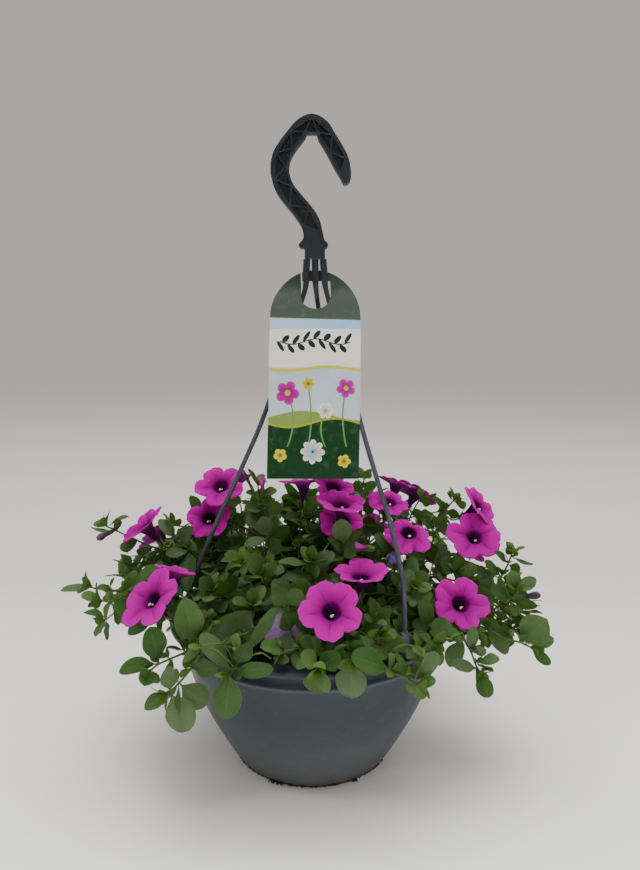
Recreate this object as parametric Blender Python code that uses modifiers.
"""Petunia in a 27 cm hanging pot with its snap-on hanger, hang tag and plant label.

The pot is a turned bowl with a flanged lip; a perforated plate on four wick cups keeps
a water store below the compost. A flat plastic hook carries three arms whose clips snap
through slots in the lip. Shoots grow from crowns on the compost, arch over the lip and
carry the leaves; each flower, bud and spent flower is a piece of its own.
Front is -Y, the pot's axis is Z and its base stands at z = 0. Layout sizes are in mm.
"""
import bpy
import bmesh
import math
import random
from math import sin, cos, pi, radians
from mathutils import Vector, Matrix, Quaternion
from mathutils.bvhtree import BVHTree

# ---------------------------------------------------------------------------
# The plant's layout, in millimetres: the pot's axis is Z, the base is z = 0 and
# the front is -Y. Leaves, stems and flowers are set out here once, and each
# is given clear space from everything set out before it.
# ---------------------------------------------------------------------------
SOIL_TOP = 131.5          # crest of the soil
EYE = Vector((7.3, -608.8, 379.1))   # the viewing point that the plant was arranged from
REACH = 655.0             # one unit of the viewing grid is 1 / REACH of the distance
DOWN = radians(7.0)       # how far that view looks down


def sight(u, v, y):
    """The point on the plane y that lies on grid line (u across, v down) of the front view."""
    a, b = (u - 320.0) / REACH, (435.0 - v) / REACH
    c, s = cos(DOWN), sin(DOWN)
    t = (y - EYE.y) / (c + b * s)
    return Vector((EYE.x + t * a, y, EYE.z + t * (b * c - s)))


def outer_wall(z):
    """Outer radius of the pot at a height."""
    rows = ((0, 72.5), (12, 80.8), (30, 91.2), (55, 104.0), (80, 114.0), (100, 119.5), (112, 122.0), (117, 123.0))
    if z <= 0:
        return rows[0][1]
    for (z0, r0), (z1, r1) in zip(rows, rows[1:]):
        if z <= z1:
            return r0 + (r1 - r0) * (z - z0) / (z1 - z0)
    return 123.0


def clear_of_pot(p, gap=1.2):
    r = math.hypot(p.x, p.y)
    if p.z > 138.6:
        return True
    if p.z > 110:
        if r > 136.6 + gap * 0.6:
            return True
        return r < 116.5 and p.z > SOIL_TOP + gap
    return r > outer_wall(p.z) + gap + 1.0


class Space:
    """Everything set out so far, for keeping new pieces clear of it. Cells 30 mm wide say what is near."""

    def __init__(self):
        self.kept = []
        self.cells = {}

    def spans(self, lo, hi):
        a, b = [int(math.floor(v / 30.0)) for v in lo], [int(math.floor(v / 30.0)) for v in hi]
        for i in range(a[0], b[0] + 1):
            for j in range(a[1], b[1] + 1):
                for k in range(a[2], b[2] + 1):
                    yield i, j, k

    def add(self, verts, faces, mark=None):
        lo = [min(p[i] for p in verts) for i in range(3)]
        hi = [max(p[i] for p in verts) for i in range(3)]
        for cell in self.spans(lo, hi):
            self.cells.setdefault(cell, []).append(len(self.kept))
        self.kept.append((lo, hi, BVHTree.FromPolygons(verts, faces), mark))

    def free(self, verts, faces, skip=()):
        lo = [min(p[i] for p in verts) for i in range(3)]
        hi = [max(p[i] for p in verts) for i in range(3)]
        tree = None
        near = set()
        for cell in self.spans(lo, hi):
            near.update(self.cells.get(cell, ()))
        for item in sorted(near):
            l, h, other, mark = self.kept[item]
            if mark is not None and mark in skip:
                continue
            if (l[0] > hi[0] or h[0] < lo[0] or l[1] > hi[1] or h[1] < lo[1] or l[2] > hi[2] or h[2] < lo[2]):
                continue
            if tree is None:
                tree = BVHTree.FromPolygons(verts, faces)
            if tree.overlap(other):
                return False
        return True


# ------------------------------------------------------------------ leaves
def outline(t):
    """Half-width of a petunia leaf along its length, 0 to 1."""
    if t <= 0.10:
        return 0.06
    k = (t - 0.10) / 0.90
    return max(0.06 * (1 - k), sin(pi * min(1.0, k) ** 0.92) ** 0.72)


class Leaf:
    def __init__(self, base, tip, width, want, roll=0.0, arch=0.07, fold=0.16, tone=0.5):
        self.base, self.tip, self.width = base.copy(), tip.copy(), width
        axis = tip - base
        self.length = axis.length
        self.a = axis / self.length
        n = want - want.dot(self.a) * self.a
        if n.length < 1e-3:
            n = self.a.orthogonal()
        n.normalize()
        self.n = Quaternion(self.a, radians(roll)) @ n
        self.s = self.a.cross(self.n).normalized()
        self.arch, self.fold, self.tone = arch, fold, tone
        self.stops = (0.32, 0.70) if self.length > 14 else (0.5,)
        self.small = False    # a filling leaf, too small or too many to be built as a solid

    def at(self, t, q, lift=0.0, grow=0.0):
        half = self.width / 2 * outline(t) + grow
        rise = self.arch * self.length * 4 * t * (1 - t)
        rise += self.fold * abs(q) * half
        return (self.base + self.a * (t * self.length) + self.n * (rise + lift) + self.s * (q * half))

    def ring(self, t, thick=0.7, grow=0.0):
        return [self.at(t, -1, 0, grow), self.at(t, 0, thick / 2), self.at(t, 1, 0, grow), self.at(t, 0, -thick / 2)]

    def solid(self, thick=0.7, grow=0.0, stops=(0.2, 0.45, 0.8)):
        """The blade alone as a closed solid, for keeping other pieces clear."""
        verts, faces = [self.at(0.13, 0)], []
        for t in stops:
            verts += self.ring(t, thick, grow)
        verts.append(self.at(1.0, 0) + self.a * grow)
        return self.closed(verts, faces, stops)

    def coarse(self, grow=0.0, start=0.0):
        """The leaf as it is built, from its stem's side, or from further along, to its tip."""
        verts = [self.base - self.a * 1.2]
        verts += [self.base - self.a * 0.5 + self.s * (q * (1.9 + grow)) + self.n * (w * (1.4 + grow)) for q, w in ((-1, 0), (0, 1), (1, 0), (0, -1))]
        if start:
            share = start / self.stops[0]
            first = self.ring(self.stops[0], 0.7 + 2 * grow, grow)
            verts = [self.at(start, 0)] + [a.lerp(b, share + 0.02) for a, b in zip(verts[1:], first)]
        for t in self.stops:
            verts += self.ring(t, 0.7 + 2 * grow, grow)
        verts.append(self.at(1.0, 0) + self.a * grow)
        return self.closed(verts, [], (0,) + self.stops)

    def closed(self, verts, faces, stops):
        for k in range(4):
            j = (k + 1) % 4
            faces.append((0, 1 + k, 1 + j))
            for m in range(len(stops) - 1):
                b = 1 + 4 * m
                faces.append((b + k, b + 4 + k, b + 4 + j, b + j))
            b = 1 + 4 * (len(stops) - 1)
            faces.append((b + k, len(verts) - 1, b + j))
        return verts, faces


# ------------------------------------------------------------------- stems
class Stem:
    """A stem through given points. joints holds, for a point's index, the leaves that leave there."""

    def __init__(self, points, thick=(1.45, 0.95)):
        self.points = [p.copy() for p in points]
        self.thick = thick
        self.leaves = {}

    def tangent(self, i):
        p = self.points
        a = p[max(i - 1, 0)]
        b = p[min(i + 1, len(p) - 1)]
        return (b - a).normalized()

    def radius(self, i):
        f = i / max(1, len(self.points) - 1)
        return self.thick[0] + (self.thick[1] - self.thick[0]) * f

    def tube(self, grow=0.0, start=0, stop=None, sides=3):
        pts = self.points[start:stop]
        verts, faces = [], []
        n = None
        for i, p in enumerate(pts):
            t = self.tangent(start + i)
            n = t.orthogonal().normalized() if n is None else (n - n.dot(t) * t).normalized()
            m = t.cross(n)
            r = self.radius(start + i) + grow
            verts += [p + (n * cos(2 * pi * k / sides) + m * sin(2 * pi * k / sides)) * r for k in range(sides)]
        for i in range(len(pts) - 1):
            for k in range(sides):
                j = (k + 1) % sides
                b = i * sides
                faces.append((b + k, b + j, b + sides + j, b + sides + k))
        faces.append(tuple(range(sides - 1, -1, -1)))
        faces.append(tuple(range(len(verts) - sides, len(verts))))
        return verts, faces


class Group:
    """Shoots that grow from one crown on the soil, as one solid."""

    def __init__(self, name, x, y):
        self.name = name
        self.at = Vector((x, y, SOIL_TOP + 0.8))
        self.stems = []
        self.sprouts = []     # small side shoots: (stem, leaves)


# ----------------------------------------------------------------- flowers
class Flower:
    """A corolla: its throat's centre, the way it faces, and its size. cup lifts the lobes' tips forward (or back, when negative)."""

    def __init__(self, name, centre, face, size, roll=0.0, cup=0.0, tube=26.0, tone=0.5, pinch=0.0, turn=0.0):
        self.name, self.c, self.size, self.tube, self.tone = name, centre.copy(), size, tube, tone
        self.n = face.normalized()
        up = Vector((0, 0, 1)) if abs(self.n.z) < 0.95 else Vector((0, 1, 0))
        e = (up - up.dot(self.n) * self.n).normalized()
        self.e1 = Quaternion(self.n, radians(roll)) @ e
        self.e2 = self.n.cross(self.e1)
        self.cup, self.pinch = cup, pinch
        self.root = None      # where its stalk meets a stem

    def point(self, h, r, angle):
        return self.c + self.n * h + (self.e1 * cos(angle) + self.e2 * sin(angle)) * r

    def calyx(self):
        return self.c - self.n * self.tube

    def stalk(self):
        """Points from the calyx back to the stem."""
        a = self.calyx()
        if self.root is None:
            return [a, a - self.n * 6 - Vector((0, 0, 3))]
        b = a - self.n * 9
        return [a, a * 0.25 + b * 0.5 + self.root * 0.25, self.root]

    def solid(self, thick=0.9, grow=0.0, stalk=True):
        half = self.size / 2
        verts, faces = [], []

        def ring(h, r, count):
            start = len(verts)
            for k in range(count):
                rr = r[k % len(r)] if isinstance(r, tuple) else r
                verts.append(self.point(h, rr, 2 * pi * k / count))
            return start

        rings = [ring(-2.5 - thick / 2, 7.6 + grow, 5), ring(-self.tube * 0.55, 2.6 + grow, 5), ring(-self.tube, 1.5 + grow, 5)]
        if stalk:
            # the stalk's rings carry the corolla's frame back along its bend
            pts = self.stalk()
            n, e = -self.n, self.e1
            for i in range(1, len(pts)):
                way = (pts[min(i + 1, len(pts) - 1)] - pts[i - 1]).normalized()
                e = n.rotation_difference(way) @ e
                n = way
                f = -n.cross(e)
                rings.append(len(verts))
                for k in range(5):
                    ang = 2 * pi * k / 5
                    verts.append(pts[i] + (e * cos(ang) + f * sin(ang)) * (0.8 + grow))
        rings.reverse()
        faces.append(tuple(range(rings[0] + 4, rings[0] - 1, -1)))
        for a, b in zip(rings, rings[1:]):
            for k in range(5):
                j = (k + 1) % 5
                faces.append((a + k, a + j, b + j, b + k))
        edge = ring(self.cup, (half + grow, half * 0.80 + grow), 10)
        a = rings[-1]
        for k in range(5):
            j = (k + 1) % 5
            e0, e1, e2 = edge + 2 * k, edge + (2 * k + 1) % 10, edge + (2 * k + 2) % 10
            faces += [(a + k, e1, e0), (a + k, a + j, e1), (a + j, e2, e1)]
        b = ring(-1.5 + thick / 2, 7.0, 5)
        for k in range(5):
            j = (k + 1) % 5
            e0, e1, e2 = edge + 2 * k, edge + (2 * k + 1) % 10, edge + (2 * k + 2) % 10
            faces += [(b + k, e0, e1), (b + k, e1, b + j), (b + j, e1, e2)]
        verts.append(self.point(-self.tube * 0.5, 0, 0))
        for k in range(5):
            faces.append((b + k, b + (k + 1) % 5, len(verts) - 1))
        return verts, faces


class Bud:
    """A closed bud or a furled flower: a spindle from a stalk end to a tip."""

    def __init__(self, name, base, tip, fat, tone=0.5, kind="bud"):
        self.name, self.base, self.tip, self.fat, self.tone, self.kind = name, base.copy(), tip.copy(), fat, tone, kind

    def solid(self, grow=0.0, sides=5, rows=((0.0, 0.35), (0.18, 0.75), (0.5, 0.62), (0.8, 1.0), (0.95, 0.6))):
        a = (self.tip - self.base)
        length = a.length
        a.normalize()
        e1 = a.orthogonal().normalized()
        e2 = a.cross(e1)
        verts, faces = [], []
        for t, r in rows:
            for k in range(sides):
                ang = 2 * pi * k / sides
                verts.append(self.base + a * (t * length) + (e1 * cos(ang) + e2 * sin(ang)) * (r * self.fat / 2 + grow))
        verts.append(self.tip.copy())
        faces.append(tuple(range(sides - 1, -1, -1)))
        for i in range(len(rows) - 1):
            for k in range(sides):
                j = (k + 1) % sides
                faces.append((i * sides + k, i * sides + j, (i + 1) * sides + j, (i + 1) * sides + k))
        b = (len(rows) - 1) * sides
        for k in range(sides):
            faces.append((b + k, b + (k + 1) % sides, len(verts) - 1))
        return verts, faces


def facing(yaw, pitch):
    """Unit vector: yaw to the right of the front view, pitch above level, in degrees."""
    a, b = radians(yaw), radians(pitch)
    return Vector((sin(a) * cos(b), -cos(a) * cos(b), sin(b)))


# Flowers set by eye: grid place and depth of the throat, facing, size, roll, cup
FRONT_FLOWERS = (
    ("flower_front", 331.5, 610.5, -128, facing(2, 46), 50.5, 28, 1.5, 24),
    ("flower_right", 461, 603, -66, facing(6, 42), 51, 44, 1.0, 24),
    ("flower_right_upper", 475, 536, 0, facing(4, 50), 54, 0, 0.5, 26),
    ("flower_right_top", 480, 505, 26, facing(62, 38), 47, 20, 1.0, 26),
    ("flower_mid_right", 409, 531, -45, facing(6, 60), 43, 8, -7.0, 24),
    ("flower_behind_wire", 389, 500, -8, facing(20, 68), 41, 30, -2.0, 24),
    ("flower_crest_right", 397, 483, 36, Vector((0.30, 0.20, 0.93)), 42, 15, 2.0, 24),
    ("flower_low_centre", 361, 575, -88, facing(4, 84), 47, 0, 4.0, 22),
    ("flower_crest_centre", 303, 481, 2, Vector((-0.05, 0.16, 0.98)), 48, 12, 1.0, 26),
    ("flower_crest_near", 334, 486, -14, facing(30, 58), 40, 40, 0.0, 22),
    ("flower_crest_low", 341, 503, -36, facing(24, 76), 44, 10, 2.0, 22),
    ("flower_crest_drooping", 342, 519, -56, facing(8, 52), 42, 52, -3.0, 20),
    ("flower_upper_left", 220, 485, 16, facing(-6, 50), 50, 34, 1.5, 26),
    ("flower_left_middle", 208, 517, 8, facing(-14, 44), 47, 10, 0.0, 26),
    ("flower_left", 144, 525, -20, Vector((-0.59, -0.19, 0.79)), 48, 0, 3.0, 26),
    ("flower_front_left", 150, 599, -112, Vector((-0.456, -0.50, 0.72)), 54, 20, 1.5, 26),
    ("flower_left_inner", 174, 573, -78, Vector((0.25, 0.25, 0.92)), 36, 0, 4.0, 20),
)
# Flowers round the back, in millimetres, each facing out and up
BACK_FLOWERS = (
    ("flower_back_left", -92, 112, 236, 48, 10),
    ("flower_back", 18, 138, 244, 50, 30),
    ("flower_back_right", 112, 96, 228, 49, 50),
    ("flower_far_left", -166, 74, 188, 50, 0),
    ("flower_back_low_right", 68, 186, 168, 51, 25),
    ("flower_back_low_left", -62, 190, 160, 47, 60),
    ("flower_far_right", 168, 88, 172, 48, 5),
)
# Buds and spent flowers: kind, base and tip on the grid, greatest width
BUDS = (
    ("bud_left", "bud", (121, 548, -28), (97, 539, -35), 6.4),
    ("bud_right", "bud", (512, 601, -52), (541, 595, -55), 6.6),
    ("bud_front_left", "bud", (192, 637, -108), (199, 625, -110), 4.6),
    ("bud_front", "bud", (381, 635, -118), (385, 625, -122), 5.4),
    ("bud_crest", "petal", (263, 497, 8), (262, 478, 6), 7.0),
    ("bud_crest_dark", "bud", (256, 496, 14), (243, 471, 14), 4.0),
    ("flower_furled", "petal", (375, 549, -58), (353, 546, -60), 8.0),
    ("flower_spent", "spent", (377, 556, -52), (394, 560, -54), 11.0),
)
# Shoots set by eye. Each group has its crown on the soil, and each stem its points on the grid
# with depth, then its leaves: point index, tip on the grid with depth, width in mm, roll in degrees.
SHOOTS = (
    ("shoots_left", -46, -6, (
        (((190, 565, 0), (172, 553, -5), (150, 546, -14), (132, 538, -22), (117, 531, -26), (108, 527, -28)), (
            (4, 89, 528, -14, 8, 70), (5, 101, 520, -34, 9, 20), (5, 128, 516, -30, 8, 60), (4, 116, 519, -34, 9, 30),
            (3, 127, 552, -38, 15, 25), (2, 141, 556, -28, 14, 30), (5, 106, 535, -36, 8, 10))),
        (((185, 578, -24), (165, 574, -34), (141, 573, -44), (121, 570, -50), (104, 567, -55), (94, 567, -58)), (
            (2, 132, 551, -50, 21, 5), (2, 134, 592, -60, 15, 35), (3, 112, 545, -54, 16, 0), (3, 117, 592, -66, 16, 30), (4, 94, 551, -60, 11, 15),
            (4, 112, 583, -68, 12, 30), (5, 79, 562, -58, 11, 25), (5, 77, 575, -66, 10, 35), (5, 95, 585, -70, 9, 20))),
        (((178, 590, -34), (150, 590, -46), (128, 591, -54), (110, 590, -60), (93, 588, -64)), (
            (4, 60, 590, -64, 9.5, 30), (4, 82, 578, -72, 8, 30), (3, 112, 604, -74, 8, 45), (2, 128, 578, -64, 12, 30))),
        (((176, 604, -46), (150, 602, -60), (130, 599, -68), (114, 601, -74), (103, 601, -78)), (
            (4, 81, 594, -80, 9.5, 15), (4, 92, 606, -86, 7, 50), (2, 113, 611, -82, 13, 10), (3, 118, 592, -80, 8, 60))),
        (((206, 566, 12), (190, 550, 8), (176, 540, 4), (172, 527, 2)), (
            (3, 171, 512, 2, 7, 35), (3, 163, 513, 10, 6, 50), (3, 181, 519, 0, 7, 40), (2, 159, 519, -4, 13, 5),
            (2, 193, 528, -4, 13, 10), (1, 187, 590, -34, 17, 5), (1, 166, 556, -16, 14, 30))),
    )),
    ("shoots_front_left", -34, -42, (
        (((206, 622, -72), (184, 620, -84), (167, 618, -94), (155, 614, -98)), (
            (3, 128, 635, -112, 12, 8), (2, 157, 622, -110, 6, 20), (2, 170, 598, -100, 12, 30))),
        (((210, 640, -82), (198, 644, -100), (186, 652, -108), (170, 659, -116), (159, 664, -119), (152, 669, -121)), (
            (4, 150, 627, -122, 18.5, 6), (4, 118, 670, -118, 14, 15), (5, 142, 651, -132, 10, 20), (5, 144, 686, -132, 13, 10),
            (2, 167, 647, -120, 6, 50), (3, 172, 672, -132, 9, 45), (5, 158, 684, -136, 8, 40))),
        (((222, 640, -84), (207, 652, -108), (192, 668, -122), (179, 683, -130), (170, 692, -133)), (
            (4, 168, 666, -137, 13.5, 8), (4, 144, 709, -140, 12, 12), (4, 189, 731, -146, 21.5, 8), (3, 207, 705, -136, 20, 14),
            (2, 219, 670, -141, 12, 20), (4, 180, 712, -150, 8, 60), (4, 161, 700, -146, 7, 50))),
        (((216, 630, -76), (204, 644, -98), (193, 645, -106), (189, 636, -110)), (
            (2, 184, 597, -119, 22, 8), (1, 251, 613, -104, 23, 32), (3, 199, 622, -116, 6, 50), (3, 188, 616, -124, 7, 60),
            (3, 181, 634, -124, 9, 30))),
        (((252, 634, -84), (249, 642, -106), (242, 656, -122), (236, 666, -132), (231, 671, -135)), (
            (4, 225, 720, -141, 22, 5), (4, 274, 669, -143, 11.5, 18), (4, 200, 634, -130, 15.5, 12), (3, 249, 643, -139, 13, 30),
            (4, 239, 680, -145, 7, 40), (2, 276, 607, -112, 11, 30), (4, 221, 676, -143, 7, 50))),
    )),
    ("shoots_front", 2, -52, (
        (((320, 628, -96), (321, 642, -116), (321, 655, -134), (319, 667, -143)), (
            (3, 315, 693, -146, 19, 6), (3, 300, 654, -149, 14.5, 15), (3, 341, 654, -149, 14.5, 15), (2, 296, 668, -141, 10, 30),
            (2, 312, 637, -139, 10, 35), (3, 324, 676, -153, 6, 40))),
        (((340, 628, -96), (346, 640, -114), (350, 652, -130), (352, 659, -139)), (
            (3, 351, 699, -145, 23.5, 10), (2, 362, 640, -136, 12, 35))),
        (((372, 622, -94), (381, 638, -112), (390, 656, -128), (391, 671, -139), (404, 677, -143), (416, 684, -146)), (
            (3, 351, 656, -146, 19.5, 12), (3, 390, 652, -146, 7, 45), (4, 397, 653, -142, 7, 40), (5, 424, 699, -149, 10, 10),
            (5, 408, 692, -150, 9, 20), (5, 436, 680, -148, 10.5, 12), (5, 433, 672, -142, 6, 45), (4, 440, 655, -132, 16, 18),
            (1, 408, 648, -118, 12.5, 20), (5, 414, 670, -150, 8, 40))),
        (((312, 626, -84), (311, 637, -101), (301, 647, -113), (285, 651, -121)), (
            (3, 279, 664, -130, 13, 15), (1, 291, 612, -108, 11.5, 20), (3, 270, 640, -118, 9, 25), (3, 262, 646, -128, 13, 30),
            (2, 297, 668, -129, 11, 25))),
        (((366, 612, -88), (375, 622, -106), (380, 632, -117)), (
            (2, 395, 617, -124, 8, 20), (2, 371, 612, -124, 8, 30), (2, 364, 626, -122, 9, 35), (2, 397, 636, -124, 9, 30),
            (2, 376, 640, -127, 8, 20), (1, 371, 597, -104, 9, 40), (1, 391, 606, -106, 10, 35))),
    )),
    ("shoots_right", 48, -26, (
        (((430, 606, -44), (446, 612, -56), (457, 626, -68), (463, 638, -76), (471, 652, -84), (475, 663, -89), (478, 669, -92)), (
            (3, 449, 667, -88, 15, 8), (6, 450, 664, -98, 11.5, 12), (6, 489, 698, -99, 13.5, 10), (6, 494, 671, -97, 7.5, 35),
            (5, 500, 659, -94, 12, 22), (4, 473, 626, -92, 10, 14), (6, 477, 682, -102, 6, 50), (4, 486, 650, -98, 9, 40))),
        (((436, 596, -28), (462, 612, -46), (483, 624, -60), (505, 638, -70), (519, 642, -75), (530, 647, -79)), (
            (2, 510, 653, -70, 16.5, 8), (3, 489, 621, -78, 7.5, 20), (4, 548, 620, -84, 26, 8), (5, 554, 638, -84, 10, 20),
            (5, 551, 665, -86, 9, 15), (5, 545, 650, -90, 7, 40), (3, 510, 632, -78, 6, 30), (4, 527, 634, -86, 8, 40))),
        (((440, 584, -18), (464, 598, -34), (486, 610, -46), (500, 606, -52), (510, 600, -55), (515, 592, -57)), (
            (4, 538, 606, -66, 10, 15), (4, 490, 588, -62, 13, 8), (5, 512, 571, -60, 13, 10), (5, 536, 578, -60, 11.5, 15),
            (4, 517, 616, -68, 8, 25), (3, 487, 606, -62, 7, 50), (5, 525, 580, -64, 5, 60), (2, 472, 626, -60, 12, 30),
            (5, 500, 576, -62, 8, 40))),
        (((424, 612, -52), (432, 630, -76), (434, 642, -92)), (
            (2, 446, 618, -84, 18, 20), (2, 424, 640, -108, 14, 25), (2, 441, 655, -104, 13, 25), (1, 421, 600, -78, 14, 20),
            (1, 412, 622, -84, 13, 25))),
    )),
    ("shoots_right_top", 42, 16, (
        (((446, 590, -8), (470, 588, -14), (490, 592, -20), (501, 577, -22), (508, 564, -23), (511, 556, -24)), (
            (5, 534, 564, -24, 6, 70), (5, 507, 546, -28, 9, 25), (5, 518, 556, -30, 8, 35), (4, 520, 571, -32, 10, 20),
            (4, 495, 551, -26, 9, 35), (3, 485, 561, -30, 11, 30), (2, 478, 572, -30, 14, 25), (3, 512, 580, -30, 9, 40))),
        (((424, 560, 16), (436, 530, 26), (446, 510, 30), (453, 501, 31)), (
            (3, 447, 492, 30, 7, 50), (3, 461, 497, 28, 9, 20), (3, 467, 507, 26, 8, 25), (2, 433, 497, 24, 9, 35),
            (1, 452, 528, 18, 12, 25), (2, 459, 516, 22, 10, 35), (1, 420, 520, 18, 11, 30))),
        (((400, 545, 24), (411, 515, 34), (420, 499, 36)), (
            (2, 420, 488, 38, 8, 30), (2, 437, 493, 34, 6, 60), (2, 431, 503, 28, 10, 30), (1, 398, 512, 30, 12, 30), (1, 423, 512, 26, 11, 35))),
        (((440, 576, 0), (456, 572, -12), (468, 582, -26)), (
            (2, 500, 594, -46, 17, 15), (2, 470, 562, -36, 13, 30), (1, 440, 560, -16, 17, 20), (1, 459, 556, -20, 14, 30))),
    )),
    ("shoots_crest", -8, 14, (
        (((352, 540, 8), (360, 510, 4), (362, 490, 0), (364, 480, -2)), (
            (3, 370, 471, -4, 9, 15), (3, 357, 473, -4, 7, 30), (2, 376, 482, -4, 10, 30), (1, 352, 502, -8, 9, 40), (1, 374, 506, -10, 12, 30))),
        (((272, 532, 12), (264, 510, 12), (259, 497, 12), (258, 487, 12)), (
            (3, 248, 468, 12, 6, 40), (3, 262, 473, 8, 9, 20), (3, 269, 480, 6, 8, 40), (2, 246, 492, 4, 9, 40), (2, 277, 490, 4, 13, 25),
            (1, 283, 505, 0, 14, 30), (1, 244, 508, 0, 13, 30))),
        (((236, 545, 22), (230, 520, 24), (226, 506, 24)), (
            (2, 204, 494, 30, 7, 45), (2, 240, 497, 14, 11, 25), (1, 214, 538, 10, 13, 30), (1, 245, 520, 10, 13, 25))),
        (((300, 530, 0), (301, 512, 0), (301, 505, 0)), (
            (2, 313, 487, -6, 6, 50), (2, 292, 489, 18, 9, 40), (1, 286, 518, -10, 13, 30), (1, 316, 521, -16, 12, 30))),
    )),
    ("shoots_centre", -10, -24, (
        (((272, 600, -52), (267, 588, -62), (263, 577, -66)), (
            (2, 247, 555, -62, 18.5, 5), (2, 275, 562, -74, 12, 15), (1, 268, 612, -84, 12, 35), (2, 243, 580, -78, 10, 40))),
        (((293, 622, -70), (293, 613, -84), (292, 606, -90)), (
            (2, 272, 580, -92, 17, 6), (2, 305, 580, -96, 19, 8), (1, 276, 612, -104, 11, 25), (2, 311, 596, -106, 9, 40))),
        (((312, 590, -56), (312, 576, -68), (311, 565, -73)), (
            (2, 335, 553, -78, 12.5, 12), (2, 277, 562, -82, 9.5, 35), (1, 289, 575, -86, 11, 25), (2, 313, 546, -76, 11, 20),
            (1, 331, 578, -84, 12, 35), (2, 320, 570, -88, 9, 35))),
        (((340, 572, -40), (343, 556, -50), (344, 545, -55)), (
            (2, 340, 519, -66, 17, 4), (2, 361, 531, -60, 12, 20), (1, 330, 562, -68, 12, 30), (2, 356, 556, -70, 13, 25),
            (2, 328, 538, -60, 10, 35))),
        (((262, 560, -10), (266, 545, -14), (268, 538, -16)), (
            (2, 262, 517, -20, 16, 15), (2, 290, 527, -18, 13, 25), (2, 244, 546, -24, 12, 25), (1, 282, 548, -28, 14, 30), (2, 277, 516, -10, 12, 30))),
    )),
    ("shoots_inner", 18, -2, (
        (((234, 602, -46), (222, 598, -60), (214, 593, -66)), (
            (2, 200, 578, -70, 13, 10), (2, 221, 579, -72, 9, 20), (1, 236, 575, -70, 12, 25), (2, 206, 602, -84, 11, 30), (1, 224, 612, -82, 14, 35))),
        (((258, 618, -62), (254, 610, -82), (253, 606, -87)), (
            (2, 252, 588, -92, 10, 6), (2, 277, 600, -98, 10, 35), (2, 232, 600, -92, 11, 30), (1, 240, 588, -84, 9, 40))),
        (((402, 596, -42), (410, 592, -58), (413, 588, -64)), (
            (2, 404, 571, -72, 14, 8), (2, 427, 572, -72, 14, 10), (2, 432, 598, -78, 12, 20), (1, 413, 556, -66, 13, 15),
            (1, 392, 572, -62, 12, 20), (2, 411, 606, -84, 12, 25), (2, 396, 590, -74, 12, 30))),
        (((380, 574, -28), (388, 560, -34), (392, 552, -36)), (
            (2, 375, 534, -38, 13, 20), (2, 404, 556, -44, 12, 30), (1, 372, 566, -48, 14, 30), (2, 386, 541, -46, 10, 35))),
    )),
)
# Crowns of the shoots round the sides and back: name, place, azimuth they lean to, spread, stems
BACK_SHOOTS = (
    ("shoots_back_left_low", -52, 24, 152, 84, 5, 0.02),
    ("shoots_back_left", -30, 40, 128, 70, 5, 0.42),
    ("shoots_back", 0, 56, 92, 74, 6, 0.04),
    ("shoots_back_crest", 6, 34, 88, 150, 6, 0.60),
    ("shoots_back_right", 34, 42, 52, 70, 5, 0.38),
    ("shoots_back_right_low", 56, 22, 24, 84, 5, 0.03),
    ("shoots_filling", -22, 4, 200, 320, 6, 0.72),
)


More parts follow.
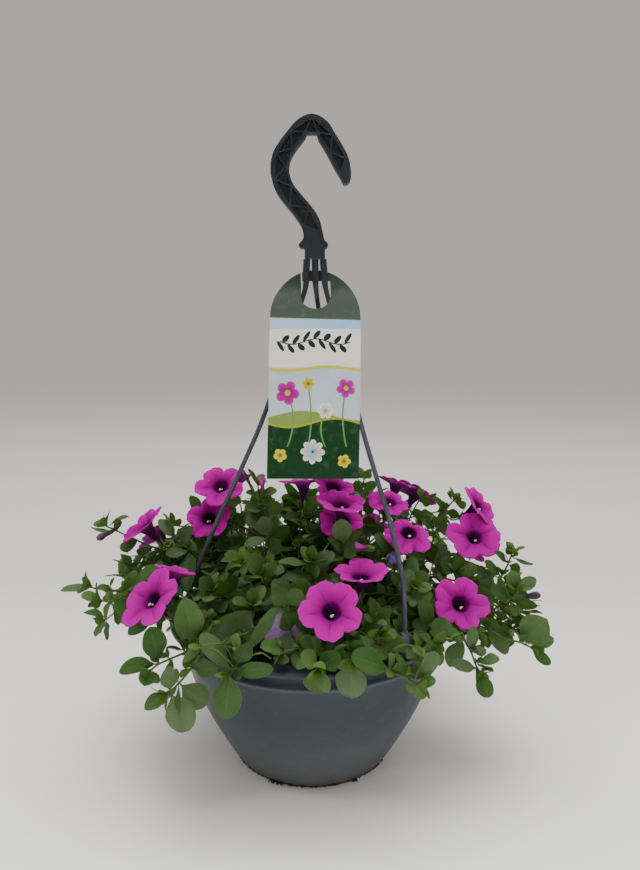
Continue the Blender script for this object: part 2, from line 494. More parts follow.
def arrange():
    """Everything on the plant, each piece clear of the others."""
    rng = random.Random(27)
    space = Space()
    for verts, faces in fixed_pieces():
        space.add(verts, faces, "fixed")
    flowers, buds, groups = [], [], []

    for name, u, v, y, face, size, roll, cup, tube in FRONT_FLOWERS:
        for dy in (0, 5, -5, 10, -10, 15, -15, 20, -20, 26, -26):
            f = Flower(name, sight(u, v, y + dy), face, size, roll, cup, tube, rng.random())
            verts, faces = f.solid(grow=0.5, thick=1.6, stalk=False)
            if space.free(verts, faces) and all(clear_of_pot(p) for p in verts):
                break
        else:
            continue
        space.add(*f.solid(stalk=False), name)
        flowers.append(f)
    for name, x, y, z, size, roll in BACK_FLOWERS:
        out = Vector((x, y, 0)).normalized()
        face = out * 0.75 + Vector((0, 0, 0.55 + 0.004 * (z - 160)))
        f = Flower(name, Vector((x, y, z)), face, size, roll, rng.uniform(-2, 3), 25.0, rng.random())
        verts, faces = f.solid(grow=0.5, thick=1.6, stalk=False)
        if space.free(verts, faces):
            space.add(*f.solid(stalk=False), name)
            flowers.append(f)

    # stems: the crown's sides face out over a sector, one stem from each side
    def grow_stem(group, side, lanes, name):
        """lanes is the stem's own points. Tries ways round what is in the way."""
        first = lanes[0]
        start = group.at + side * 6.2
        for k in range(60):
            sway = (k + 1) // 2 * (1 if k % 2 else -1)
            a = start + side * 5 + Vector((0, 0, 6 + (k % 5) * 2.5))
            flat = (first - a)
            across = Vector((-flat.y, flat.x, 0))
            across = across.normalized() if across.length > 1 else Vector((1, 0, 0))
            mid = a.lerp(first, 0.5) + Vector((0, 0, 9 + (k % 7) * 3.2)) + across * sway * 1.1
            moved = [p + (p - EYE).normalized() * (0.5 * sway if k > 6 else 0) for p in lanes]
            pts = [start, a, mid] + moved
            stem = Stem(pts)
            verts, faces = stem.tube(grow=0.55, start=1)
            if not (all(clear_of_pot(p, 0.8) for p in pts[1:]) and space.free(verts, faces)):
                continue
            if space.free(*stem.tube(grow=0.55, stop=2), skip=(group.name,)):
                space.add(*stem.tube(start=1), name)
                space.add(*stem.tube(grow=0.6, stop=2), group.name)
                return stem
        return None

    def crown_sides(x, y, targets):
        """Directions for the crown's sides, in the order of the stems' bearings."""
        bearings = [math.atan2(p.y - y, p.x - x) for p in targets]
        mean = math.atan2(sum(sin(b) for b in bearings), sum(cos(b) for b in bearings))
        near = [((b - mean + pi) % (2 * pi)) - pi for b in bearings]
        order = sorted(range(len(near)), key=lambda i: near[i])
        step = radians(30 if len(near) < 8 else 26)
        sides = [None] * len(near)
        for place, i in enumerate(order):
            b = mean + (place - (len(near) - 1) / 2) * step
            sides[i] = Vector((cos(b), sin(b), 0))
        return sides, mean, step

    for name, x, y in [row[:3] for row in SHOOTS] + [row[:3] for row in BACK_SHOOTS]:
        low = Vector((x, y, SOIL_TOP + 0.8))
        ring = [Vector((cos(pi * k / 4), sin(pi * k / 4), 0)) * 6.4 for k in range(8)]
        verts = [low + r for r in ring] + [low + r + Vector((0, 0, 4)) for r in ring]
        faces = [(k, (k + 1) % 8, (k + 1) % 8 + 8, k + 8) for k in range(8)] + [tuple(range(8)), tuple(range(15, 7, -1))]
        space.add(verts, faces, name)

    hand = []
    for name, x, y, stems in SHOOTS:
        group = Group(name, x, y)
        lanes = [[sight(*p) for p in row] for row, _ in stems]
        sides, group.mean, group.step = crown_sides(x, y, [l[0] for l in lanes])
        for (row, leaves), lane, side in zip(stems, lanes, sides):
            stem = grow_stem(group, side, lane, name + str(len(group.stems)))
            if stem is None:
                continue
            stem.mark, stem.side = name + str(len(group.stems)), side
            group.stems.append(stem)
            hand.append((group, stem, leaves))
        groups.append(group)

    fill = []
    for name, x, y, azimuth, spread, count, lift in BACK_SHOOTS:
        group = Group(name, x, y)
        plans = []
        for i in range(count):
            az = radians(azimuth + spread * ((i + 0.5) / count - 0.5) + rng.uniform(-5, 5))
            e = radians(90 * lift * rng.uniform(0.75, 1.15)) if lift > 0.1 else radians(rng.uniform(-8, 12))
            reach = rng.uniform(0.86, 0.99)
            if name == "shoots_filling":
                e = radians(rng.uniform(28, 74))
                reach = rng.uniform(0.62, 0.82)
            tip = Vector((cos(az) * cos(e) * 218 * reach, 5 + sin(az) * cos(e) * 205 * reach, 140 + sin(e) * 104 * reach))
            plans.append((az, e, tip))
        origin = group.at
        lanes = []
        for az, e, tip in plans:
            low = e < radians(16)
            up = Vector((0, 0, 62 if low else 40))
            a = origin + Vector((cos(az), sin(az), 0)) * 12 + Vector((0, 0, 8))
            b = a.lerp(tip, 0.45) + up
            if low:
                b.z = max(b.z, 172)
            pts = []
            n = 6 if (tip - origin).length > 120 else 5
            for k in range(n):
                t = 0.26 + 0.74 * k / (n - 1)
                pts.append(a * (1 - t) ** 2 + b * 2 * t * (1 - t) + tip * t * t)
            lanes.append(pts)
        sides, group.mean, group.step = crown_sides(x, y, [l[-1] for l in lanes])
        for lane, side in zip(lanes, sides):
            stem = grow_stem(group, side, lane, name + str(len(group.stems)))
            if stem is None:
                continue
            stem.mark, stem.side = name + str(len(group.stems)), side
            group.stems.append(stem)
            fill.append((group, stem))
        groups.append(group)

    # stalks: each flower joins the nearest stem that it can reach
    samples = []
    for group in groups:
        for stem in group.stems:
            for i in range(2, len(stem.points) - 1):
                for t in (0.25, 0.5, 0.75):
                    samples.append((stem.points[i].lerp(stem.points[i + 1], t), stem.radius(i)))
    for f in flowers:
        base = f.calyx()
        near = sorted(samples, key=lambda s: (s[0] - base).length)[:90]
        f.root = None
        for p, r in near:
            if (p - base).dot(f.n) > -3 or (p - base).length > 80:
                continue
            root = p + (base - p).normalized() * (r + 1.7)
            f.root = root
            tube = Stem(f.stalk()[::-1], (0.8, 0.8)).tube(grow=0.45)
            if space.free(*tube, skip=(f.name,)) and all(clear_of_pot(q, 0.6) for q in f.stalk()):
                space.add(*tube, f.name)
                break
            f.root = None
    for name, kind, a, b, fat in BUDS:
        base, tip = sight(*a), sight(*b)
        near = sorted(samples, key=lambda s: (s[0] - base).length)[:20]
        done = False
        for p, r in near + [(base, 0.3)]:
            if (p - base).length > 22:
                continue
            start = p + (tip - p).normalized() * (r + 1.0)
            for dy in (0, 4, -4, 8, -8, 12, -12):
                end = sight(b[0], b[1], b[2] + dy)
                bud = Bud(name, start, end, fat, rng.random(), kind)
                if space.free(*bud.solid(grow=0.4)) and clear_of_pot(start) and clear_of_pot(end):
                    space.add(*bud.solid(), name)
                    buds.append(bud)
                    done = True
                    break
            if done:
                break

    # leaves
    shown = []

    def try_leaf(stem, index, leaf, sides_used):
        verts, faces = leaf.solid(thick=1.5, grow=0.35)
        if not all(clear_of_pot(p, 0.9) for p in verts):
            return False
        if not space.free(verts, faces, skip=(stem.mark,)):
            return False
        if not space.free(*leaf.coarse(0.6), skip=(stem.mark, stem.mark + str(index))):
            return False
        near = leaf.coarse(0.2, 0.16)
        if not space.free(*near, skip=(stem.mark,)):
            return False
        sv, sf = stem.tube(grow=0.1, start=1)
        if BVHTree.FromPolygons(*near).overlap(BVHTree.FromPolygons(sv, sf)):
            return False
        tree = BVHTree.FromPolygons(verts, faces)
        sv, sf = stem.tube(grow=0.35, start=1)
        if tree.overlap(BVHTree.FromPolygons(sv, sf)):
            return False
        return True

    def set_leaf(stem, index, leaf, tag):
        space.add(*leaf.solid(), stem.mark + str(index))
        space.add(*leaf.coarse(), stem.mark + str(index))
        space.add(*leaf.coarse(0.0, 0.16), stem.mark + "leaves")
        stem.leaves.setdefault(index, []).append(leaf)

    for group, stem, leaves in hand:
        for index, u, v, y, width, roll in leaves:
            index += 3
            while len(stem.leaves.get(index, [])) >= 3 and index > 2:
                index -= 1
            base = stem.points[index]
            best = None
            for k in range(46):
                dy = (k + 1) // 2 * (1 if k % 2 else -1) * 1.6
                tip = sight(u, v, y + dy)
                out = (tip - base).normalized()
                start = base + out * (stem.radius(index) + 0.4)
                want = (EYE - tip).normalized() + Vector((0, 0, 0.3))
                spin = roll * (1 if k % 4 < 2 else -1) + (0, 8, -8, 16, -16)[k % 5]
                size = 1.0 if k < 30 else 0.9 if k < 38 else 0.8
                tip2 = start + (tip - start) * size
                leaf = Leaf(start, tip2, width * size, want, spin, 0.06, 0.16, rng.random())
                if try_leaf(stem, index, leaf, None):
                    best = leaf
                    break
            if best is None:
                continue
            set_leaf(stem, index, best, group.name + "leaf")
            for t in (0.3, 0.5, 0.7, 0.9):
                shown.append(best.at(t, 0))
    for f in flowers:
        shown.append(f.c)
        for k in range(5):
            shown.append(f.point(f.cup, f.size * 0.38, 2 * pi * k / 5))

    def on_grid(p):
        d = p - EYE
        c, s = cos(DOWN), sin(DOWN)
        depth = d.y * c - d.z * s
        return 320 + REACH * d.x / depth, 435 - REACH * (d.y * s + d.z * c) / depth, p.y

    seen = [on_grid(p) for p in shown]

    def hides(leaf, marks=seen, reach=9):
        for t in (0.2, 0.5, 0.8, 1.0):
            for q in (-0.8, 0.8):
                u, v, y = on_grid(leaf.at(t, q))
                for a, b, c in marks:
                    if c > y - 2 and abs(a - u) < reach and abs(b - v) < reach:
                        return True
        return False

    for group, stem in fill:
        turn = rng.uniform(0, 360)
        last = len(stem.points) - 1
        for index in range(3, last + 1):
            near_tip = (index - 3) / max(1, last - 3)
            count = 3 if index == last else 2
            for j in range(count):
                for k in range(9):
                    along = stem.tangent(index)
                    side = along.orthogonal().normalized()
                    ang = radians(turn + 180 * j + (60 if index == last else 0) * j + rng.uniform(-20, 20) + k * 37)
                    out = Quaternion(along, ang) @ side
                    lean = 0.35 if index < last else 0.75
                    way = (out + along * lean + Vector((0, 0, 0.12))).normalized()
                    length = rng.uniform(27, 37) * (1.0 - 0.32 * near_tip) * (1.0 if k < 6 else 0.75)
                    width = length * rng.uniform(0.50, 0.62)
                    base = stem.points[index] + way * (stem.radius(index) + 0.4)
                    outward = Vector((base.x, base.y, 0))
                    outward = outward.normalized() if outward.length > 1 else Vector((0, 0, 1))
                    want = Vector((0, 0, 0.85)) + outward * 0.55
                    leaf = Leaf(base, base + way * length, width, want, rng.uniform(-16, 16), 0.07, 0.16, rng.random())
                    if leaf.at(1, 0).z < 84 or math.hypot(leaf.at(1, 0).x, leaf.at(1, 0).y) > 232:
                        continue
                    leaf.stops = (0.48,)
                    leaf.small = (index % 2 == 0 and index < last) or j == 2
                    if hides(leaf):
                        continue
                    if try_leaf(stem, index, leaf, None):
                        set_leaf(stem, index, leaf, group.name + "leaf")
                        break
            turn += 90
    return flowers, buds, groups




# ------------------------------------------------------- made pieces: sizes in mm
LIP_R = 135.0             # 27 cm pot
LIP_TOP = 136.4
WALL = 2.2
ARM_R = 2.15              # hanger arms
ARM_BEARINGS = (190.0, 70.0, -50.0)       # left, back, right
ARM_TOPS = ((-4.6, -5.4, -6.7), (2.8, 3.2, 3.9), (10.1, 11.4, 13.0))   # x at z 464.4, 450, 436
ARM_DEPTHS = (-3.4, -2.2, -4.2)
ARM_BOWS = (-2.0, 3.0, 5.5)
ARM_SWAYS = ((0, 1.5, 3.6, 4.2, 1.8, -0.9, -2.2, -0.6), (0, 0, 0, 0, 0, 0, 0, 0), (0, 0, 0, 0.6, 3.4, 6.8, 7.0, 0.6))   # to the right, by sevenths of an arm
SLOT_R = 130.5            # the lip's slots for the arms' clips
TAG_WAY = ((455.5, 0.9), (446, 0.5), (438, -2.2), (430, -8.2), (421, -13.0), (400, -20.0), (376, -28.2), (352, -36.0), (318, -47.0), (296, -50.5), (272.8, -53.0))
LABEL_Y = -96.0
LABEL_OUTLINE = ((260, 620), (282, 613), (306, 615), (309, 633), (297, 656), (289, 657), (265, 641))


def tag_depth(z):
    """How far forward or back the hang tag lies at a height: behind the arms at its top, in front below its hole."""
    if z >= TAG_WAY[0][0]:
        return TAG_WAY[0][1]
    for (z0, y0), (z1, y1) in zip(TAG_WAY, TAG_WAY[1:]):
        if z >= z1:
            return y0 + (y1 - y0) * (z0 - z) / (z0 - z1)
    return TAG_WAY[-1][1]


def tag_outline(step=15):
    """The tag's edge (x, z): its arched top, and the slit through which its hole is threaded on the arms."""
    def arch(a):
        return 3.0 + 40.4 * cos(radians(a)), 412.0 + 43.2 * sin(radians(a))
    loop = [(-38.6, 272.8), (40.6, 272.8), (42.2, 330), (43.4, 390), (43.4, 412.0)]
    loop += [arch(a) for a in range(step, 106, step)] + [arch(107.4)]
    loop += [(-8.9, 445.4), (16.6, 445.4), (17.0, 431.0)]
    hole = (17.0, 431.0), (14.6, 424.5), (9.6, 420.8), (3.6, 419.6), (-2.6, 420.8), (-7.8, 424.5), (-9.8, 431.0)
    loop += hole[1:]
    loop += [(-9.9, 441.0), arch(109.2)]
    loop += [arch(a) for a in range(105 + step, 180, step) if a > 112]
    loop += [(-37.4, 412.0), (-37.6, 380), (-37.4, 330)]
    return loop


def arm_path(k, steps=7):
    """Points of an arm from the hook's fork down to its clip."""
    x0, x1, x2 = ARM_TOPS[k]
    az = radians(ARM_BEARINGS[k])
    out = Vector((cos(az), sin(az), 0))
    a = Vector((x2, ARM_DEPTHS[k], 436))
    knee = out * 119.4 + Vector((0, 0, 149.8))
    pts = [Vector((x0, -3, 464.4)), Vector((x1, -3.1, 450))]
    sway = ARM_SWAYS[k]
    for i in range(steps + 1):
        f = i / steps
        j = min(6, int(f * 7))
        s = sway[j] + (sway[j + 1] - sway[j]) * (f * 7 - j)
        pts.append(a.lerp(knee, f) + out * (ARM_BOWS[k] * 4 * f * (1 - f)) + Vector((s, 0, 0)))
    return pts


# An arm's clip: a flat tab over the lip and a barbed peg down through the slot (radius, height)
CLIP = ((117.0, 151.2), (119.8, 152.2), (129.0, 143.0), (133.2, 139.8), (133.4, 137.2), (131.9, 136.8), (131.9, 131.9),
        (131.2, 129.6), (130.0, 129.6), (128.0, 131.4), (127.8, 132.8), (129.1, 132.8), (129.1, 136.8), (126.9, 137.5), (117.2, 147.8))


def fixed_pieces():
    """Plain closed forms of the hanger's arms, the tag and the label, for keeping the plant clear of them."""
    forms = []
    for k in range(3):
        forms.append(Stem(arm_path(k), (ARM_R + 0.1, ARM_R + 0.1)).tube(sides=6))
        az = radians(ARM_BEARINGS[k])
        out, side = Vector((cos(az), sin(az), 0)), Vector((-sin(az), cos(az), 0))
        ring = [(114.5, 147), (117.5, 152.2), (134.2, 140), (134.2, 129)]
        verts = [out * r + side * s + Vector((0, 0, z)) for s in (-4.6, 4.6) for r, z in ring]
        faces = [(0, 1, 2, 3), (7, 6, 5, 4)] + [(j, (j + 1) % 4, (j + 1) % 4 + 4, j + 4) for j in range(4)]
        forms.append((verts, faces))
    rows = [(z, y) for z, y in TAG_WAY if z < 440]
    verts, faces = [], []
    for z, y in rows:
        verts += [Vector((x, y + d, z)) for x, d in ((-38.5, -0.5), (43.5, -0.5), (43.5, 0.5), (-38.5, 0.5))]
    for i in range(len(rows) - 1):
        faces += [(4 * i + j, 4 * i + (j + 1) % 4, 4 * i + 4 + (j + 1) % 4, 4 * i + 4 + j) for j in range(4)]
    faces += [(0, 1, 2, 3), tuple(len(verts) - 4 + j for j in (3, 2, 1, 0))]
    forms.append((verts, faces))
    verts = [sight(u, v, LABEL_Y + d) for d in (-0.7, 0.7) for u, v in LABEL_OUTLINE]
    n = len(LABEL_OUTLINE)
    faces = [tuple(range(n)), tuple(range(2 * n - 1, n - 1, -1))] + [(j, (j + 1) % n, (j + 1) % n + n, j + n) for j in range(n)]
    forms.append((verts, faces))
    return forms


# The hook's centre line (x, z) and its width there, from the neck up round the crown to the tip
HOOK_LINE = ((1.2, 486.0, 17.2), (-1.2, 495.5, 17.0), (-7.0, 504.5, 16.6), (-15.0, 514.0, 16.0), (-23.0, 524.0, 16.2),
             (-27.2, 534.0, 16.4), (-28.2, 543.5, 16.2), (-26.2, 553.0, 15.8), (-21.0, 561.6, 15.0), (-14.6, 569.6, 14.6),
             (-8.4, 576.4, 14.6), (0.0, 579.9, 15.2), (8.6, 575.6, 15.0), (14.4, 567.4, 14.4), (20.6, 557.6, 14.6),
             (25.6, 548.2, 14.6), (28.9, 539.8, 11.6), (30.9, 532.8, 7.6))
HOOK_Y, HOOK_DEEP, HOOK_WEB = -3.0, 11.0, 3.2
SEAT_Z = 572.3            # flat underside of the crown, where the hook bears


def hook_frames(cuts=1):
    """Points along the hook's centre line with the direction across and the half-width."""
    p = HOOK_LINE
    rows = []
    for i in range(len(p) - 1):
        p0, p1, p2, p3 = p[max(i - 1, 0)], p[i], p[i + 1], p[min(i + 2, len(p) - 1)]
        for k in range(cuts):
            t = k / cuts
            rows.append(tuple(0.5 * (2 * b + (c - a) * t + (2 * a - 5 * b + 4 * c - d) * t * t + (3 * b - a - 3 * c + d) * t ** 3)
                              for a, b, c, d in zip(p0, p1, p2, p3)))
    rows.append(p[-1])
    frames = []
    for i, (x, z, w) in enumerate(rows):
        a, b = rows[max(i - 1, 0)], rows[min(i + 1, len(rows) - 1)]
        t = Vector((b[0] - a[0], b[1] - a[1])).normalized()
        frames.append((Vector((x, z)), Vector((-t.y, t.x)), w / 2))
    return frames


def hook_outline(cuts=1):
    """The hook's outline: its eared foot, the outer side, the rounded tip and the inner side."""
    frames = hook_frames(cuts)
    outer = [c + s * h for c, s, h in frames]
    inner = [c - s * h for c, s, h in frames]
    flat = []
    for q in inner:
        if abs(q.x) < 5.4 and q.y > 560:
            continue
        flat.append(q)
    at = next(i for i, q in enumerate(flat) if q.x > 0 and q.y > 560)
    flat[at:at] = [Vector((-4.4, SEAT_Z)), Vector((4.4, SEAT_Z))]
    tip = [outer[-1] + Vector((-0.6, -2.4)), outer[-1].lerp(inner[-1], 0.5) + Vector((0.4, -3.4)), inner[-1] + Vector((0.9, -2.2))]
    foot = [Vector(q) for q in ((-6.4, 465.0), (-6.4, 473.4), (-10.4, 474.2), (-11.9, 476.4), (-10.2, 478.4), (-8.0, 481.0))]
    ear = [Vector(q) for q in ((11.4, 480.2), (13.6, 478.6), (14.6, 476.4), (13.2, 474.2), (11.8, 473.6), (11.8, 465.0))]
    return foot + outer + tip + flat[::-1] + ear


def hook_pockets():
    """Triangles between the hook's zigzag ribs, inside its edge flanges."""
    frames = hook_frames(1)
    stops = frames[0:-1]
    rail = []
    for i, (c, s, h) in enumerate(stops):
        rail.append(c + s * (h - 2.5) * (1 if i % 2 else -1))
    found = []
    for i in range(len(rail) - 2):
        a, b, c = rail[i], rail[i + 1], rail[i + 2]
        mid = (a + b + c) / 3
        area = abs((b - a).cross(c - a)) / 2
        inner_r = 2 * area / ((a - b).length + (b - c).length + (c - a).length)
        if inner_r < 1.6:
            continue
        k = 1 - 0.75 / inner_r
        found.append([mid + (q - mid) * k for q in (a, b, c)])
    return found


# ---------------------------------------------------------------------------
# Building
# ---------------------------------------------------------------------------
MM = 0.001

for old in list(bpy.data.objects):
    bpy.data.objects.remove(old, do_unlink=True)

part = bpy.data.collections.new("petunia_hanging_pot")
cutters = bpy.data.collections.new("cutters")
bpy.context.scene.collection.children.link(part)
bpy.context.scene.collection.children.link(cutters)


def material(name, colour, rough, metal=0.0):
    mat = bpy.data.materials.new(name)
    mat.use_nodes = True
    bsdf = next(n for n in mat.node_tree.nodes if n.type == "BSDF_PRINCIPLED")
    bsdf.inputs["Base Color"].default_value = (*colour, 1.0)
    bsdf.inputs["Roughness"].default_value = rough
    bsdf.inputs["Metallic"].default_value = metal
    mat.diffuse_color = (*colour, 1.0)
    return mat


SLATE = material("slate_plastic", (0.075, 0.088, 0.105), 0.45)
DARK = material("anthracite_plastic", (0.035, 0.042, 0.048), 0.42)
BLACK = material("black_plastic", (0.02, 0.02, 0.022), 0.5)
SOIL = material("potting_compost", (0.035, 0.02, 0.012), 0.95)
CARD = material("printed_tag", (0.62, 0.74, 0.70), 0.4)
LILAC = material("lilac_label", (0.42, 0.33, 0.60), 0.55)
LEAF = material("petunia_leaf", (0.09, 0.17, 0.05), 0.6)
PETAL = material("magenta_petal", (0.60, 0.01, 0.42), 0.55)
BUDCOL = material("dark_bud", (0.05, 0.015, 0.06), 0.6)
SPENT = material("faded_petal", (0.22, 0.10, 0.42), 0.7)


def link(obj, mat, collection=None):
    (collection or part).objects.link(obj)
    if mat:
        obj.data.materials.clear()
        obj.data.materials.append(mat)
    return obj


def mesh_object(name, verts, faces, mat, collection=None):
    """A mesh object from points in millimetres."""
    mesh = bpy.data.meshes.new(name)
    mesh.from_pydata([tuple(p * MM) for p in verts], [], [tuple(f) for f in faces])
    bm = bmesh.new()
    bm.from_mesh(mesh)
    bmesh.ops.recalc_face_normals(bm, faces=bm.faces)
    if bm.calc_volume(signed=True) < 0:
        bmesh.ops.reverse_faces(bm, faces=bm.faces)
    bm.to_mesh(mesh)
    bm.free()
    return link(bpy.data.objects.new(name, mesh), mat, collection)


def turned(name, profile, mat, steps=36, collection=None):
    """A profile of (radius, height) turned about Z by a Screw modifier."""
    mesh = bpy.data.meshes.new(name)
    mesh.from_pydata([(r * MM, 0, z * MM) for r, z in profile], [(i, i + 1) for i in range(len(profile) - 1)], [])
    obj = link(bpy.data.objects.new(name, mesh), mat, collection)
    screw = obj.modifiers.new("turn", "SCREW")
    screw.axis = "Z"
    screw.steps = screw.render_steps = steps
    screw.use_merge_vertices = True
    screw.merge_threshold = 0.00002
    return obj


def applied(obj):
    """The object with its modifiers made into its mesh."""
    bpy.context.view_layer.update()
    deps = bpy.context.evaluated_depsgraph_get()
    mesh = bpy.data.meshes.new_from_object(obj.evaluated_get(deps))
    obj.modifiers.clear()
    if obj.type == "MESH":
        obj.data = mesh
        return obj
    new = bpy.data.objects.new(obj.name, mesh)
    new.matrix_world = obj.matrix_world
    for collection in obj.users_collection:
        collection.objects.link(new)
    name = obj.name
    bpy.data.objects.remove(obj, do_unlink=True)
    new.name = name
    bm = bmesh.new()
    bm.from_mesh(new.data)
    bmesh.ops.remove_doubles(bm, verts=bm.verts, dist=0.000005)
    bm.to_mesh(new.data)
    bm.free()
    return new


def boolean(obj, other, operation, drop=True):
    mod = obj.modifiers.new("bool", "BOOLEAN")
    mod.operation = operation
    mod.solver = "EXACT"
    mod.object = other
    applied(obj)
    if drop:
        bpy.data.objects.remove(other, do_unlink=True)
    return obj


def flat_outline(name, loops, deep, mat, collection=None):
    """Closed outlines (x, z) in the XZ plane, extruded deep along Y about y = 0."""
    curve = bpy.data.curves.new(name, "CURVE")
    curve.dimensions = "2D"
    curve.fill_mode = "BOTH"
    curve.extrude = deep / 2 * MM
    for loop in loops:
        spline = curve.splines.new("POLY")
        spline.points.add(len(loop) - 1)
        for point, q in zip(spline.points, loop):
            point.co = (q[0] * MM, q[1] * MM, 0, 1)
        spline.use_cyclic_u = True
    obj = link(bpy.data.objects.new(name, curve), mat, collection)
    obj.rotation_euler = (pi / 2, 0, 0)
    obj = applied(obj)
    obj.data.transform(obj.matrix_world)
    obj.matrix_world = Matrix.Identity(4)
    return obj


# ----------------------------------------------------------------- the pot
POT = (
    (0, 2.6), (66, 2.6), (71.6, 4.2), (78.6, 12.5), (89.0, 30), (101.8, 55), (111.8, 80), (117.2, 100), (118.4, 112),
    (118.6, 133.0), (120.0, 136.0), (121.0, 136.4), (133.6, 136.4), (134.8, 135.8), (135.0, 134.8), (135.0, 132.4),
    (133.9, 132.2), (133.4, 133.4), (121.6, 133.4), (120.8, 132.8), (120.4, 118.6), (122.8, 117.8), (123.3, 116.6),
    (122.3, 115.2), (119.5, 100), (114.0, 80), (104.0, 55), (91.2, 30), (80.8, 12), (74.4, 1.8), (72.3, 0), (0, 0),
)
pot = applied(turned("pot_shell", POT, SLATE))
for bearing in ARM_BEARINGS:
    bm = bmesh.new()
    bmesh.ops.create_cube(bm, size=1.0)
    cut = bpy.data.meshes.new("slot")
    bm.to_mesh(cut)
    bm.free()
    slot = link(bpy.data.objects.new("slot", cut), None, cutters)
    slot.hide_render, slot.display_type = True, "WIRE"
    az = radians(bearing)
    cut.transform(Matrix.Translation((SLOT_R * cos(az) * MM, SLOT_R * sin(az) * MM, 0.1345)) @ Matrix.Rotation(az, 4, "Z") @ Matrix.Diagonal((0.0038, 0.0092, 0.008, 1)))
    boolean(pot, slot, "DIFFERENCE")

# The plate over the water store, with four wick cups that stand on the pot's floor
PLATE_Z = 56.0
CUP_R = 50.0
plate = applied(turned("reservoir_plate", ((0, PLATE_Z + 2), (98.6, PLATE_Z + 2), (99.6, PLATE_Z + 6), (101.2, PLATE_Z + 6), (100.6, PLATE_Z), (0, PLATE_Z)), BLACK, 36))
for k in range(4):
    az = radians(45 + 90 * k)
    hole = turned("cup_hole", ((0, PLATE_Z + 8), (11.6, PLATE_Z + 8), (11.6, PLATE_Z - 8), (0, PLATE_Z - 8)), None, 12, cutters)
    hole = applied(hole)
    hole.data.transform(Matrix.Translation((CUP_R * cos(az) * MM, CUP_R * sin(az) * MM, 0)))
    hole.hide_render, hole.display_type = True, "WIRE"
    boolean(plate, hole, "DIFFERENCE")
    cup = turned("cup", ((0, 4.6), (6.6, 4.6), (11.2, PLATE_Z + 1.6), (13.0, PLATE_Z + 1.6), (13.0, PLATE_Z - 0.6), (8.2, 2.9), (0, 2.9)), None, 12, cutters)
    cup = applied(cup)
    cup.data.transform(Matrix.Translation((CUP_R * cos(az) * MM, CUP_R * sin(az) * MM, 0)))
    for j in range(2):
        bm = bmesh.new()
        bmesh.ops.create_cube(bm, size=1.0)
        cut = bpy.data.meshes.new("slit")
        bm.to_mesh(cut)
        bm.free()
        cut.transform(Matrix.Translation((CUP_R * cos(az) * MM, CUP_R * sin(az) * MM, 0.014)) @ Matrix.Rotation(az + j * pi / 2, 4, "Z") @ Matrix.Diagonal((0.040, 0.0024, 0.012, 1)))
        slit = link(bpy.data.objects.new("slit", cut), None, cutters)
        slit.hide_render, slit.display_type = True, "WIRE"
        boolean(cup, slit, "DIFFERENCE")
    cup.hide_render, cup.display_type = True, "WIRE"
    boolean(plate, cup, "UNION")
for k in range(8):
    az = radians(22.5 + 45 * k)
    hole = turned("air_hole", ((0, PLATE_Z + 8), (3.0, PLATE_Z + 8), (3.0, PLATE_Z - 8), (0, PLATE_Z - 8)), None, 6, cutters)
    hole = applied(hole)
    hole.data.transform(Matrix.Translation((78 * cos(az) * MM, 78 * sin(az) * MM, 0)))
    hole.hide_render, hole.display_type = True, "WIRE"
    boolean(plate, hole, "DIFFERENCE")

# Compost: it fills the pot above the plate and reaches down into the cups
SOIL_BASE = PLATE_Z + 2.35
soil = applied(turned("potting_soil", (
    (0, SOIL_TOP), (60, SOIL_TOP), (96, 130.6), (110, 129.0), (117.6, 126.6), (117.5, 112), (116.6, 100), (111.2, 80), (102.6, PLATE_Z + 6.6),
    (99.2, PLATE_Z + 6.4), (98.2, SOIL_BASE), (0, SOIL_BASE)), SOIL, 36))
for k in range(4):
    az = radians(45 + 90 * k)
    wick = applied(turned("wick", ((0, SOIL_BASE + 6), (10.7, SOIL_BASE + 6), (10.7, SOIL_BASE - 1.2), (6.0, 5.2), (0, 5.2)), None, 10, cutters))
    wick.data.transform(Matrix.Translation((CUP_R * cos(az) * MM, CUP_R * sin(az) * MM, 0)))
    wick.hide_render, wick.display_type = True, "WIRE"
    boolean(soil, wick, "UNION")

# -------------------------------------------------------------- the hanger
hook = flat_outline("hanger_hook", [hook_outline()], HOOK_DEEP, DARK)
hook.data.transform(Matrix.Translation((0, HOOK_Y * MM, 0)))
deep = (HOOK_DEEP - HOOK_WEB) / 2
pockets = hook_pockets()
for side in (-1, 1):
    cut = flat_outline("pockets", pockets, deep + 2, None, cutters)
    cut.data.transform(Matrix.Translation((0, (HOOK_Y + side * (HOOK_WEB / 2 + (deep + 2) / 2)) * MM, 0)))
    cut.hide_render, cut.display_type = True, "WIRE"
    boolean(hook, cut, "DIFFERENCE")

for k, name in enumerate(("hanger_arm_left", "hanger_arm_back", "hanger_arm_right")):
    curve = bpy.data.curves.new(name, "CURVE")
    curve.dimensions = "3D"
    curve.fill_mode = "FULL"
    curve.bevel_depth = ARM_R * MM
    curve.bevel_resolution = 1
    curve.use_fill_caps = True
    spline = curve.splines.new("POLY")
    pts = arm_path(k)
    az = radians(ARM_BEARINGS[k])
    out = Vector((cos(az), sin(az), 0))
    spline.points.add(len(pts) - 1)
    for point, q in zip(spline.points, pts):
        point.co = (*(q * MM), 1)
    arm = applied(link(bpy.data.objects.new(name, curve), DARK))
    clip = flat_outline("clip", [CLIP], 8.0, None, cutters)
    clip.data.transform(Matrix.Rotation(az, 4, "Z"))
    clip.hide_render, clip.display_type = True, "WIRE"
    boolean(arm, clip, "UNION")

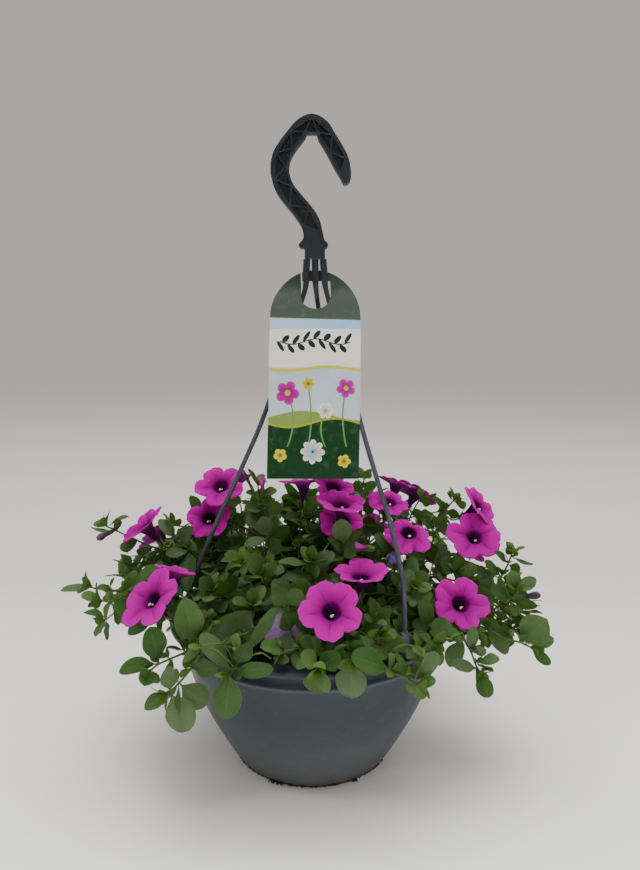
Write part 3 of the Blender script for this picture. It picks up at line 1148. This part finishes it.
# ------------------------------------------------------ the tag and label
tag = flat_outline("hang_tag", [tag_outline(15)], 0.5, CARD)
bm = bmesh.new()
bm.from_mesh(tag.data)
bmesh.ops.remove_doubles(bm, verts=bm.verts, dist=0.000002)
for z, _ in TAG_WAY[1:-1]:
    bmesh.ops.bisect_plane(bm, geom=bm.verts[:] + bm.edges[:] + bm.faces[:], plane_co=(0, 0, z * MM), plane_no=(0, 0, 1))
for v in bm.verts:
    v.co.y += tag_depth(v.co.z / MM) * MM
bmesh.ops.triangulate(bm, faces=bm.faces)
bm.to_mesh(tag.data)
bm.free()

label_points = [sight(u, v, LABEL_Y) for u, v in LABEL_OUTLINE]
label = flat_outline("plant_label", [[(p.x, p.z) for p in label_points]], 0.7, LILAC)
label.data.transform(Matrix.Translation((0, LABEL_Y * MM, 0)))


# --------------------------------------------------------------- the plant
class Shoots:
    """A shoot group's crown, stems and leaves as closed forms that run into each other, joined by a Boolean union."""

    def __init__(self, group):
        self.verts, self.faces = [], []
        for stem in group.stems:
            self.stem(group, stem)
            for i, leaves in stem.leaves.items():
                for leaf in leaves:
                    if not leaf.small:
                        self.leaf(stem, i, leaf)
        k = 6
        low = [group.at + Vector((cos(2 * pi * i / k + 0.21), sin(2 * pi * i / k + 0.21), 0)) * 6.0 for i in range(k)]
        top = [p + (group.at - p) * 0.14 + Vector((0, 0, 4.7)) for p in low]
        faces = [(i, (i + 1) % k, (i + 1) % k + k, i + k) for i in range(k)] + [tuple(range(k)), tuple(range(2 * k - 1, k - 1, -1))]
        crown = mesh_object(group.name, low + top, faces, LEAF)
        rest = mesh_object("rest", self.verts, self.faces, None, cutters)
        mod = crown.modifiers.new("join", "BOOLEAN")
        mod.operation = "UNION"
        mod.solver = "EXACT"
        mod.use_self = True
        mod.object = rest
        applied(crown)
        bpy.data.objects.remove(rest, do_unlink=True)
        crown.data.materials.clear()
        crown.data.materials.append(LEAF)

    def put(self, points):
        start = len(self.verts)
        self.verts += points
        return list(range(start, start + len(points)))

    def loft(self, rings, tip=None):
        """Three-sided rings joined one to the next, with a flat start and a flat or pointed end."""
        self.faces.append(tuple(rings[0][::-1]))
        for a, b in zip(rings, rings[1:]):
            for i in range(3):
                j = (i + 1) % 3
                self.faces.append((a[i], a[j], b[j], b[i]))
        last = rings[-1]
        if tip is None:
            self.faces.append(tuple(last))
        else:
            for i in range(3):
                self.faces.append((last[i], last[(i + 1) % 3], tip))

    def stem(self, group, stem):
        verts, _ = stem.tube(start=1)
        first = group.at + stem.side * 2.2 + Vector((0, 0, 2.6))
        shift = first - stem.points[1]
        rings = [self.put([p + shift for p in verts[:3]])]
        for i in range(0, len(verts), 3):
            rings.append(self.put(verts[i:i + 3]))
        self.loft(rings)

    def leaf(self, stem, i, leaf):
        root = stem.points[i] - stem.tangent(i) * 0.7
        s, n = leaf.s, leaf.n
        rings = [self.put([root - s * 0.3 + n * 0.17, root + s * 0.3 + n * 0.17, root - n * 0.3])]
        for t in leaf.stops:
            rings.append(self.put([leaf.at(t, -1), leaf.at(t, 1), leaf.at(t, 0, -0.35)]))
        self.loft(rings, self.put([leaf.at(1.0, 0)])[0])


flowers, buds, groups = arrange()
for group in groups:
    Shoots(group)
for f in flowers:
    verts, faces = f.solid()
    mesh_object(f.name, verts, faces, PETAL)
for b in buds:
    verts, faces = b.solid()
    mesh_object(b.name, verts, faces, {"bud": BUDCOL, "petal": PETAL, "spent": SPENT}[b.kind])
for obj in part.objects:
    if obj.type == "MESH" and obj.name in ("pot_shell", "reservoir_plate", "potting_soil"):
        obj.data.shade_smooth()
        obj.data.set_sharp_from_angle(angle=radians(40))
print(len(part.objects), "pieces,", sum(len(s.leaves.get(i, [])) for g in groups for s in g.stems for i in s.leaves), "leaves")
